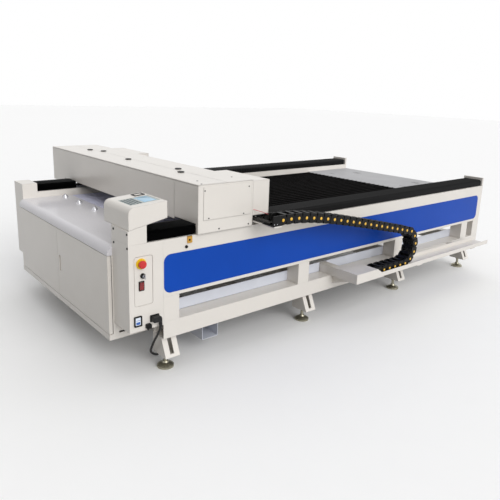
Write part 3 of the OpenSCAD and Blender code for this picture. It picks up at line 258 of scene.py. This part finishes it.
# Angles in degrees from which an edge stays sharp
SHARP, CAP_SHARP, CABLE_SHARP = 40, 50, 60
# Turn for outlines seen from the right: first axis to the back, second up, third to the right
SIDE_ON = Matrix(((0, 0, 1, 0), (1, 0, 0, 0), (0, 1, 0, 0), (0, 0, 0, 1)))
# Size for outlines in millimetres
MM = Matrix.Scale(0.001, 4)


def points_of(geom):
    """The points among what an operator gives back."""
    return [g for g in geom if isinstance(g, bmesh.types.BMVert)]


def ring_of(bm, places):
    """Closed loop of edges through a few places."""
    corners = [bm.verts.new(p) for p in places]
    return [bm.edges.new((corners[i - 1], corners[i])) for i in range(len(corners))]


def prism(bm, outline, z0, z1, place):
    """Flat outline extruded from z0 to z1 and moved by place."""
    flat = bm.faces.new([bm.verts.new(place @ Vector((x, y, z0))) for x, y in outline])
    grown = bmesh.ops.extrude_face_region(bm, geom=[flat])["geom"]
    bmesh.ops.translate(bm, verts=points_of(grown),
                        vec=place.to_3x3() @ Vector((0, 0, z1 - z0)))


def rect(x0, x1, y0, y1):
    """Outline of a rectangle."""
    return [(x0, y0), (x1, y0), (x1, y1), (x0, y1)]


def arc(cx, cy, r, a0, a1, n):
    """Outline of an arc from a0 to a1 degrees in n steps."""
    return [(cx + r * math.cos(math.radians(a0 + (a1 - a0) * k / n)),
             cy + r * math.sin(math.radians(a0 + (a1 - a0) * k / n))) for k in range(n + 1)]


def soften(bm, offset, segments=2):
    """Rounds the edges between faces that meet at an angle."""
    bmesh.ops.bevel(bm, geom=[e for e in bm.edges if len(e.link_faces) == 2
                              and e.calc_face_angle(0) > SOFT_FROM],
                    offset=offset, affect="EDGES", segments=segments, profile=0.5, material=-1)


def turned(bm, profile, place, steps=32):
    """Profile of (r, z) points, from axis to axis, spun about the third axis of place."""
    line = [bm.verts.new(place @ Vector((r, 0, z))) for r, z in profile]
    edges = [bm.edges.new(pair) for pair in zip(line, line[1:])]
    bmesh.ops.spin(bm, geom=line + edges, cent=place.translation,
                   axis=place.to_3x3() @ Vector((0, 0, 1)), angle=2 * math.pi, steps=steps,
                   use_merge=True)
    bmesh.ops.remove_doubles(bm, verts=bm.verts, dist=WELD)


def facing(p, normal):
    """Frame at p whose third axis looks along normal."""
    return Matrix.Translation(p) @ Vector(normal).to_track_quat("Z", "Y").to_matrix().to_4x4()


def tube(bm, points, radii, sides=16):
    """Circles along points, with one radius a point, bridged to a closed tube."""
    final = len(points) - 1
    across, last = None, None
    for i, p in enumerate(points):
        way = (points[min(i + 1, final)] - points[max(i - 1, 0)]).normalized()
        across = way.orthogonal() if i == 0 else across - way * across.dot(way)
        across.normalize()
        turn = Matrix((across, way.cross(across), way)).transposed().to_4x4()
        circle = bmesh.ops.create_circle(bm, cap_ends=i in (0, final), radius=radii[i],
                                         segments=sides,
                                         matrix=Matrix.Translation(p) @ turn)["verts"]
        ring = list({e for v in circle for e in v.link_edges})
        if last:
            bmesh.ops.bridge_loops(bm, edges=last + ring)
        last = ring


def add(name, bm, look, body=None, smooth=None):
    bmesh.ops.recalc_face_normals(bm, faces=bm.faces)
    me = bpy.data.meshes.new(name)
    bm.to_mesh(me)
    bm.free()
    if smooth is not None:
        me.shade_smooth()
        me.set_sharp_from_angle(angle=math.radians(smooth))
    o = bpy.data.objects.new(name, me)
    bpy.context.collection.objects.link(o)
    me.materials.append(look)
    if body:
        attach(o, body)
    return o


# Power cord: the same points as the source, then the stored coil and the straight end at the plug
CORD_R, CORD_SMOOTH = 0.006, 5
route = [
    (893, 187, 312), (892, 188, 298), (887, 189, 284), (877, 191, 268), (863, 193, 250),
    (847, 195, 230), (830, 197, 208), (813, 199, 188), (796, 201, 166), (780, 203, 143),
    (765, 205, 121), (750, 208, 100), (735, 216, 80), (721, 230, 62), (707, 248, 45),
    (692, 268, 28.5), (675, 290, 14.5), (656, 312, 7.5), (635, 333, 6.5), (611, 353, 6.5),
    (586, 374, 6.5), (561, 395, 6.5), (535, 418, 6.5), (509, 441, 6.5), (483, 465, 6.5),
    (458, 492, 6.5), (436, 522, 6.5), (418, 556, 6.5), (406, 592, 6.5)]

# The coil winds in on the floor, climbs during part of a turn and winds out on top of itself
COIL_X, COIL_Y = 323, 648
COIL_FROM, COIL_TO = -10, 80
COIL_IN, COIL_OUT, COIL_LOW, COIL_HIGH = 53, 79, 6.5, 18.6
LAYER_TURNS = 2
CLIMB_END = LAYER_TURNS + (COIL_TO - COIL_FROM) / 360
COIL_TURNS = LAYER_TURNS + CLIMB_END
TURN_STEPS = 24
coil_steps = int(COIL_TURNS * TURN_STEPS)
for i in range(coil_steps + 1):
    turns = COIL_TURNS * i / coil_steps
    climb = min(1, max(0, (turns - LAYER_TURNS) / (CLIMB_END - LAYER_TURNS)))
    z = COIL_LOW + (COIL_HIGH - COIL_LOW) * climb * climb * (3 - 2 * climb)
    r = (COIL_IN + (COIL_OUT - COIL_IN)
         * max(LAYER_TURNS - turns, turns - CLIMB_END, 0) / LAYER_TURNS)
    a = math.radians(COIL_FROM + turns * 360)
    route.append((COIL_X + r * math.cos(a), COIL_Y + r * math.sin(a), z))

leave = route[-1]
PLUG_BACK = (273.7, 736.9, 16.2)
END_STEPS = 4
for i in range(1, END_STEPS + 1):
    t = i / END_STEPS
    route.append(tuple(leave[k] * (1 - t) + PLUG_BACK[k] * t for k in range(3)))
cord_points = [at(*p) for p in route]
curve = bpy.data.curves.new("power_cord_lead", "CURVE")
curve.dimensions = "3D"
curve.bevel_depth = CORD_R
curve.bevel_resolution = CORD_SMOOTH
curve.use_fill_caps = True
spline = curve.splines.new("POLY")
spline.points.add(len(cord_points) - 1)
for p, q in zip(spline.points, cord_points):
    p.co = (*q, 1)
lead = bpy.data.objects.new("power_cord_lead", curve)
bpy.context.collection.objects.link(lead)
curve.materials.append(rubber)
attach(lead, "frame")
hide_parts("power_cord", "cord_coil")

RELIEF_STEPS, RELIEF_GROWS, RIB, GROOVE = 16, 0.0030, 0.0009, 0.0002


def strain_relief(name, points):
    """Ribbed sleeve that tapers from a plug onto the cord."""
    bm = bmesh.new()
    way, radii = [], []
    for i in range(RELIEF_STEPS + 1):
        t = i / RELIEF_STEPS
        k = min(int(t * (len(points) - 1)), len(points) - 2)
        s = t * (len(points) - 1) - k
        way.append(points[k].lerp(points[k + 1], s))
        radii.append(CORD_R + RELIEF_GROWS * (1 - t) + (RIB if i % 4 in (0, 1) else GROOVE))
    tube(bm, way, radii)
    return add(name, bm, rubber, "frame", SHARP)


reliefs = [strain_relief("inlet_plug_relief", cord_points[:3]),
           strain_relief("wall_plug_relief", cord_points[:-4:-1])]

# Tie round one side of the coil: half width, bottom and top of its inside and of its outside
TIE_ANGLE, TIE_R = math.radians(200), 66
TIE_IN, TIE_OUT, TIE_W = (0.0205, 0.0004, 0.0255), (0.0217, 0.0001, 0.0267), 0.004
tie_at = at(COIL_X + TIE_R * math.cos(TIE_ANGLE), COIL_Y + TIE_R * math.sin(TIE_ANGLE), 0)
tie_place = (Matrix.Translation(tie_at) @ Matrix.Rotation(TIE_ANGLE, 4, "Z")
             @ Matrix.Rotation(math.pi / 2, 4, "X"))
bm = bmesh.new()
loops = [ring_of(bm, [tie_place @ Vector((x, z, w)) for x, z in rect(-half, half, low, high)])
         for w in (-TIE_W, TIE_W) for half, low, high in (TIE_IN, TIE_OUT)]
# Loops 0 and 1 are the inside and the outside of one edge, 2 and 3 those of the other
for a, b in ((0, 1), (1, 3), (3, 2), (2, 0)):
    bmesh.ops.bridge_loops(bm, edges=loops[a] + loops[b])
tie = add("coil_tie", bm, black, "frame")

# Drag chain: the source's links with rounder plates, yellow pin caps and the cables inside
LINK_P, LINK_R, LINK_H, CHAIN_W, PLATE_T = 0.061, 0.028, 0.058, 0.090, 0.007
PLATE_PLAY, WEB_PLAY, BAR_PLAY = 0.0005, 0.0006, 0.0004
PLATE_STEPS, PLATE_SQUARE, LINK_EDGE = 10, 0.004, 0.0012
BAR_HALF, BAR_T = 0.012, 0.005
FOOT_PLAY, FOOT_LIP, FOOT_T, CONNECTOR_L = 0.001, 0.002, 0.005, 0.072
CABLE_R, CABLE_SPREAD, CABLE_SIDES = 0.009, 0.02, 12
CAP = [(0, 0), (0.009, 0), (0.009, 0.0010), (0.0078, 0.0021), (0.0045, 0.0027), (0, 0.0028)]
CAP_STEPS = 16
N_LOW, N_BEND, N_UP = 5, 5, 21
BEND_FIRST, UPPER_RISE = 22.5, 13.5
LEVEL_OUT, RISE_EASE = 6, 0.1
CHAIN_X = at(1022, 0, 0).x
CHAIN_START = at(1022, 1760, 332.4)


def heading(i):
    """Degrees by which a link points up from straight back."""
    if i < N_LOW:
        return 0.0
    if i < N_LOW + N_BEND:
        return BEND_FIRST + (i - N_LOW) * (180 - UPPER_RISE - BEND_FIRST) / N_BEND
    t = (i - N_LOW - N_BEND) / (N_UP - 1)
    return 180 - UPPER_RISE * (1 - t ** LEVEL_OUT) * (1 - RISE_EASE * t)


pivots = [CHAIN_START.copy()]
for i in range(N_LOW + N_BEND + N_UP):
    a = math.radians(heading(i))
    pivots.append(pivots[-1] + LINK_P * Vector((0, math.cos(a), math.sin(a))))


def link_place(i):
    """Frame at a pivot with its first axis along the link."""
    turn = heading(i) if i < len(pivots) - 1 else 180
    return (Matrix.Translation(pivots[i]) @ SIDE_ON
            @ Matrix.Rotation(math.radians(turn), 4, "Z"))


def outer_plate(reach):
    """Outline of a plate from its round end at the pin to its square end."""
    h = LINK_H / 2
    return (arc(0, 0, LINK_R, 90, 270, PLATE_STEPS)
            + [(PLATE_SQUARE, -h), (reach, -h), (reach, h), (PLATE_SQUARE, h)])


def link_mesh(bm, place):
    """Outer plates on this pin, inner plates to the next, webs between them and two bars."""
    half, inner = CHAIN_W / 2, CHAIN_W / 2 - 2 * PLATE_T - PLATE_PLAY
    web0, web1 = LINK_R + WEB_PLAY, LINK_P - LINK_R - WEB_PLAY
    bar0, bar1 = LINK_P / 2 - BAR_HALF, LINK_P / 2 + BAR_HALF
    inner_plate = ([(web0, -LINK_R)] + arc(LINK_P, 0, LINK_R, -90, 90, PLATE_STEPS)
                   + [(web0, LINK_R)])
    for s in (1, -1):
        prism(bm, outer_plate(web1), s * (half - PLATE_T), s * half, place)
        prism(bm, inner_plate, s * inner, s * (inner + PLATE_T), place)
        prism(bm, rect(web0, web1, -LINK_R, LINK_R), s * inner, s * (half - PLATE_T), place)
        v = s * LINK_R
        prism(bm, rect(bar0, bar1, v, v - s * BAR_T), -inner + BAR_PLAY, inner - BAR_PLAY, place)


def connector_mesh(bm, place):
    """End piece on the gantry: two plates on the last pins, joined by a foot."""
    half, h, foot = CHAIN_W / 2, LINK_H / 2, LINK_R + FOOT_PLAY
    for s, reach in ((1, CONNECTOR_L), (-1, foot + FOOT_LIP)):
        prism(bm, outer_plate(reach), s * (half - PLATE_T), s * half, place)
    prism(bm, rect(foot, CONNECTOR_L, h - FOOT_T, h), -half, half, place)


def chain_piece(name, first, last, node, run):
    """Links, pin caps and cables of one stretch of the chain; a stretch given a run is baked in
    place, one without hangs on the chain_bend body.
    """
    links, caps, cables = bmesh.new(), bmesh.new(), bmesh.new()
    pins = list(range(first, last))
    path = pivots[first:last + 1]
    for side in (-CABLE_SPREAD, 0, CABLE_SPREAD):
        tube(cables, [p + Vector((side, 0, 0)) for p in path], [CABLE_R] * len(path), CABLE_SIDES)
    for i in pins:
        link_mesh(links, link_place(i))
    if last == len(pivots) - 1:
        connector_mesh(links, link_place(last))
        pins.append(last)
    for i in pins:
        for s, turn in ((1, 0), (-1, math.pi)):
            turned(caps, CAP, link_place(i) @ Matrix.Translation((0, 0, s * CHAIN_W / 2))
                   @ Matrix.Rotation(turn, 4, "X"), CAP_STEPS)
    bmesh.ops.recalc_face_normals(links, faces=links.faces)
    soften(links, LINK_EDGE, 1)
    body = None if run else "chain_bend"
    made = (add(name, links, black, body),
            add(name + "_caps", caps, gold, body, CAP_SHARP),
            add(name + "_cables", cables, rubber, body, CABLE_SHARP))
    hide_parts(node)
    if run:
        for o in made:
            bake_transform(o)


Y_FIXED, Y_BEND, Y_MOVING = CHAIN_START.y, pivots[N_LOW + N_BEND].y, pivots[-1].y
LOW_END = (CHAIN_X, 2 * pivots[N_LOW].y - Y_FIXED, 0)
UP_START = (CHAIN_X, 2 * Y_BEND - Y_MOVING, 0)
chain_piece("drag_chain_lower", 0, N_LOW, "chain_lower", ((CHAIN_X, Y_FIXED, 0), LOW_END))
chain_piece("drag_chain_bend", N_LOW, N_LOW + N_BEND, "chain_bend", None)
chain_piece("drag_chain_upper", N_LOW + N_BEND, N_LOW + N_BEND + N_UP, "chain_upper",
            (UP_START, (CHAIN_X, Y_MOVING, 0)))

# Bellows: folded cloth in the shape of an inverted U over each rail
CLOTH_X0, CLOTH_X1, CLOTH_LOW, CLOTH_TOP = 704, 862, 744, 794
CLOTH_T, FOLD_D, CORNER, CORNER_INSIDE = 3, 11, 12, 14


def cloth_outline(d):
    """Outline of the cloth where it lies d below the crest of a fold."""
    x0, x1, crest, shoulder = CLOTH_X0 + d, CLOTH_X1 - d, CLOTH_TOP - d, CLOTH_TOP - d / 2
    outer = [(x0, CLOTH_LOW), (x0, shoulder - CORNER), (x0 + CORNER, crest),
             (x1 - CORNER, crest), (x1, shoulder - CORNER), (x1, CLOTH_LOW)]
    inner = [(x1 - CLOTH_T, CLOTH_LOW), (x1 - CLOTH_T, shoulder - CORNER_INSIDE),
             (x1 - CORNER_INSIDE, crest - CLOTH_T), (x0 + CORNER_INSIDE, crest - CLOTH_T),
             (x0 + CLOTH_T, shoulder - CORNER_INSIDE), (x0 + CLOTH_T, CLOTH_LOW)]
    return outer + inner


def bellows_piece(name, node, folds, y0, y1):
    """Folded bellows of both rails from y0 to y1."""
    bm = bmesh.new()
    for side in (1, -1):
        last = None
        for k in range(2 * folds + 1):
            y = y0 + (y1 - y0) * k / (2 * folds)
            outline = cloth_outline(0 if k % 2 else FOLD_D)
            ring = ring_of(bm, [at(side * x, y, z) for x, z in outline])
            if last:
                bmesh.ops.bridge_loops(bm, edges=last + ring)
            if k in (0, 2 * folds):
                bmesh.ops.contextual_create(bm, geom=ring)
            last = ring
    o = add(name, bm, bellows_cloth)
    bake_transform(o)
    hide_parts(node)


bellows_piece("bellows_cloth_front", "front_bellows", folds=60, y0=128.3, y1=414.7)
bellows_piece("bellows_cloth_rear", "rear_bellows", folds=126, y0=903.3, y1=3439.7)

# Screw heads with a round recess, in parts of their radius and of their height
HEAD = [(0, 0), (1, 0), (1, 0.5), (0.8, 1), (0.48, 1), (0.42, 0.35), (0, 0.35)]
HEAD_H, HEAD_STEPS = 0.45, 20


def screws(name, places, normal, r, look, body):
    """Screw heads of one size at some places of one face."""
    bm = bmesh.new()
    shape = [(r * part, r * HEAD_H * rise) for part, rise in HEAD]
    for p in places:
        turned(bm, shape, facing(at(*p), normal), HEAD_STEPS)
    return add(name, bm, look, body, SHARP)


screws("neck_screws", [(719, 27, 796), (719, 27, 727), (862, 27, 796), (862, 27, 727)], FRONT,
       r=0.006, look=black, body="frame")
screws("service_plate_screws",
       [(888, 456, 972), (888, 750, 972), (888, 482, 824), (888, 716, 824)], RIGHT, r=0.004,
       look=dark_steel, body="gantry")
screws("end_cover_screws", [(886, 754, 759), (886, 551, 759)], RIGHT, r=0.0045, look=dark_steel,
       body="gantry")
screws("front_lid_screws", [(778, 482, 1005.4), (870, 445, 1005.4)], TOP, r=0.005, look=dark_steel,
       body="front_lid")
screws("rear_lid_screws", [(758, 728, 1005.4)], TOP, r=0.005, look=dark_steel,
       body="rear_lid")
screws("connector_screws", [(1067, 786, 786), (1067, 806, 786)], RIGHT, r=0.003, look=steel,
       body="gantry")

# Console face in millimetres: X across, u up the slope, v out of the face
FACE_AT, FACE_TILT = (605, 32, 923), math.radians(4.64068)
face = Matrix.Translation(at(*FACE_AT)) @ Matrix.Rotation(FACE_TILT, 4, "X") @ MM
FILM_TOP, SUNK, KEY_V, VIEW_V = -0.5, 0.1, 0.7, 0.15
KEY_COLUMNS, KEY_ROWS = 6, 4
KEY_X, KEY_STEP_X, KEY_W = 90, 20.5, 15
KEY_U, KEY_STEP_U, KEY_H = 44, 17, 11
VIEW = (93, 199, 124, 182)
PORT_LIDS, LID_LOW, LID_HIGH = [(27, 39, 152, 190), (43, 55, 152, 190)], -0.2, 1.6
# Rounding of the edges in metres
ROUND, VIEW_ROUND = 0.0003, 0.00005


def on_face(name, shapes, low, high, look, round_off):
    """Rectangles that stand on the console face from low to high."""
    bm = bmesh.new()
    for x0, x1, u0, u1 in shapes:
        prism(bm, rect(x0, x1, u0, u1), low, high, face)
    bmesh.ops.recalc_face_normals(bm, faces=bm.faces)
    soften(bm, round_off)
    return add(name, bm, look, "frame", SHARP)


corners = [(KEY_X + KEY_STEP_X * i, KEY_U + KEY_STEP_U * j)
           for i in range(KEY_COLUMNS) for j in range(KEY_ROWS)]
keys = [(x, x + KEY_W, u, u + KEY_H) for x, u in corners]
on_face("console_keys", keys, FILM_TOP - SUNK, FILM_TOP + KEY_V, key_cap, ROUND)
on_face("screen_view", [VIEW], FILM_TOP - SUNK, FILM_TOP + VIEW_V, screen_blue,
        VIEW_ROUND)
on_face("port_lid", PORT_LIDS, LID_LOW, LID_HIGH, paint, ROUND)

# Panel meter in millimetres: white face with a blue field and line, behind the black frame
METER_AT = (874, 71.5, 345)
METER_FACE, METER_FACE_T = (-14, 14, -20, 20), 0.6
METER_FIELD, METER_LINE = (-11, 11, -17, -3), (-11, 11, 4, 6)
METER_INK_LOW, METER_INK_HIGH = 0.5, 0.9
meter = Matrix.Translation(at(*METER_AT)) @ SIDE_ON @ MM
bm = bmesh.new()
prism(bm, rect(*METER_FACE), 0, METER_FACE_T, meter)
add("meter_face", bm, meter_white, "frame")
bm = bmesh.new()
for shape in (METER_FIELD, METER_LINE):
    prism(bm, rect(*shape), METER_INK_LOW, METER_INK_HIGH, meter)
add("meter_field", bm, meter_blue, "frame")

# Limit switch window and the thin wire above the gantry's cables
WINDOW_AT = (878, 371, 723)
WINDOW = [(0, 0), (0.0055, 0), (0.0055, 0.0012), (0.0045, 0.0020), (0, 0.0020)]
bm = bmesh.new()
turned(bm, WINDOW, facing(at(*WINDOW_AT), RIGHT))
add("limit_switch_window", bm, black, "frame", SHARP)
WIRE_R, WIRE_SIDES = 0.0016, 10
wire = [(884, 790, 836), (893, 797, 834), (908, 808, 830), (925, 822, 825), (943, 837, 818),
        (960, 852, 811), (975, 866, 805)]
bm = bmesh.new()
tube(bm, [at(*p) for p in wire], [WIRE_R] * len(wire), WIRE_SIDES)
add("sensor_wire", bm, wire_red, "gantry", CABLE_SHARP)

# Floor, sky and light
FLOOR_HALF = 40
FLOOR_SEEN, FLOOR_BOUNCE = (0.96, 0.96, 0.96, 1), (0.42, 0.42, 0.42, 1)
SKY_BRIGHT_WAY, SKY_DARK, SKY_BRIGHT, SKY_SEEN = (-0.30, 0.87, 0.40), 0.02, 1.14, 1
SUN_WAY, SUN_ENERGY, SUN_SPREAD = (-0.90, 0.05, -0.42), 1.9, math.radians(45)


def seen_rays(tree):
    """One for the rays that show the surroundings, nothing for those that light the part."""
    rays = tree.nodes.new("ShaderNodeLightPath")
    seen = rays.outputs["Is Camera Ray"]
    for kind in ("Is Glossy Ray", "Is Transmission Ray"):
        either = tree.nodes.new("ShaderNodeMath")
        either.operation = "MAXIMUM"
        tree.links.new(seen, either.inputs[0])
        tree.links.new(rays.outputs[kind], either.inputs[1])
        seen = either.outputs["Value"]
    return seen


bm = bmesh.new()
bmesh.ops.create_grid(bm, x_segments=1, y_segments=1, size=FLOOR_HALF)
me = bpy.data.meshes.new("floor")
bm.to_mesh(me)
bm.free()
floor = bpy.data.objects.new("floor", me)
bpy.context.collection.objects.link(floor)
floor_look = material("floor", FLOOR_SEEN, rough=0.8, mottle=0.003, bump=0.0, spec=0.1)
tree = floor_look.node_tree
tone = tree.nodes.new("ShaderNodeMix")
tone.data_type = "RGBA"
tone.inputs["A"].default_value = FLOOR_BOUNCE
tree.links.new(seen_rays(tree), tone.inputs["Factor"])
tree.links.new(tree.nodes["tone"].outputs["Color"], tone.inputs["B"])
tree.links.new(tone.outputs["Result"], tree.nodes["Principled BSDF"].inputs["Base Color"])
me.materials.append(floor_look)

world = bpy.data.worlds.new("studio")
world.use_nodes = True
tree = world.node_tree
sky = tree.nodes.new("ShaderNodeTexCoord")
dot = tree.nodes.new("ShaderNodeVectorMath")
dot.operation = "DOT_PRODUCT"
dot.inputs[1].default_value = SKY_BRIGHT_WAY
tree.links.new(sky.outputs["Generated"], dot.inputs[0])
glow = tree.nodes.new("ShaderNodeMapRange")
glow.inputs["From Min"].default_value = -1
glow.inputs["From Max"].default_value = 1
glow.inputs["To Min"].default_value = SKY_DARK
glow.inputs["To Max"].default_value = SKY_BRIGHT
tree.links.new(dot.outputs["Value"], glow.inputs["Value"])
background = tree.nodes["Background"]
background.inputs["Color"].default_value = (1, 1, 1, 1)
level = tree.nodes.new("ShaderNodeMix")
level.inputs["B"].default_value = SKY_SEEN
tree.links.new(seen_rays(tree), level.inputs["Factor"])
tree.links.new(glow.outputs["Result"], level.inputs["A"])
tree.links.new(level.outputs["Result"], background.inputs["Strength"])
bpy.context.scene.world = world

sun = bpy.data.lights.new("sun", "SUN")
sun.energy = SUN_ENERGY
sun.angle = SUN_SPREAD
sun_lamp = bpy.data.objects.new("sun", sun)
sun_lamp.rotation_euler = Vector(SUN_WAY).to_track_quat("-Z", "Y").to_euler()
bpy.context.collection.objects.link(sun_lamp)
